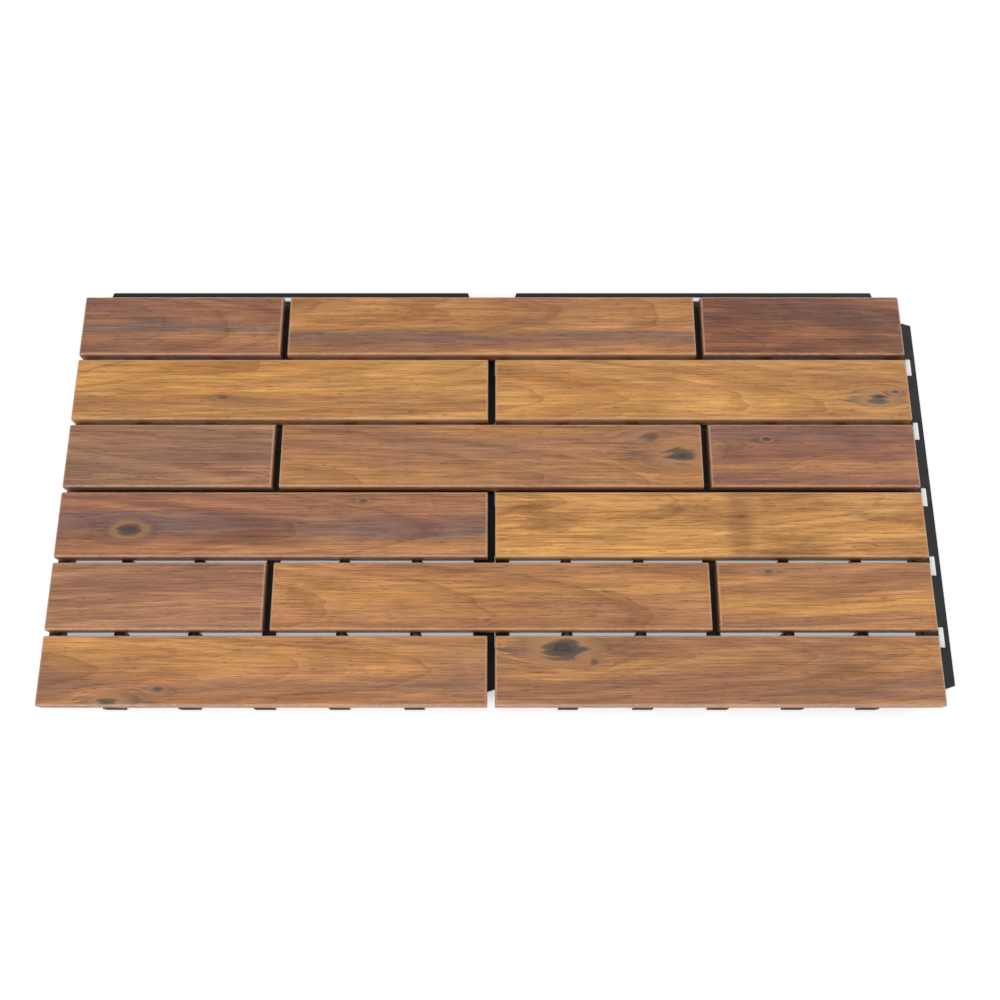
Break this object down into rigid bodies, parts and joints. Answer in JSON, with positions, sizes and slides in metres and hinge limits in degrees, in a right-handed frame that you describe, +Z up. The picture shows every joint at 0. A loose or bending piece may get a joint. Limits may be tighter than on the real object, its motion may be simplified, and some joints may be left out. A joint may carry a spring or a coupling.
{
  "type": "interlocking deck tile",
  "caption": "Flat deck tile of staggered hardwood slats screwed to clipped plastic base mouldings, with slotted clip rails on two sides and barbed hooks on the other two.",
  "frame": {"origin": "bottom centre of the tile's bounding box, rails and hooks counted in", "axes": "+Z up through the walking face, X along the slats, +X and +Y towards the sides that have the slotted clip rails"},
  "size_m": [0.6062, 0.3064, 0.024],
  "materials": {
    "wood": "oiled",
    "plastic": "matte",
    "steel": "satin"
  },
  "bodies": {
    "root": {"slat_1_left": "wood", "slat_1_right": "wood", "slat_2_left": "wood", "slat_2_middle": "wood", "slat_2_right": "wood", "slat_3_left": "wood", "slat_3_right": "wood", "slat_4_left": "wood", "slat_4_middle": "wood", "slat_4_right": "wood", "slat_5_left": "wood", "slat_5_right": "wood", "slat_6_left": "wood", "slat_6_middle": "wood", "slat_6_right": "wood", "base_left": "plastic", "base_right": "plastic", "screws_left": "steel", "screws_right": "steel"}
  },
  "joints": []
}
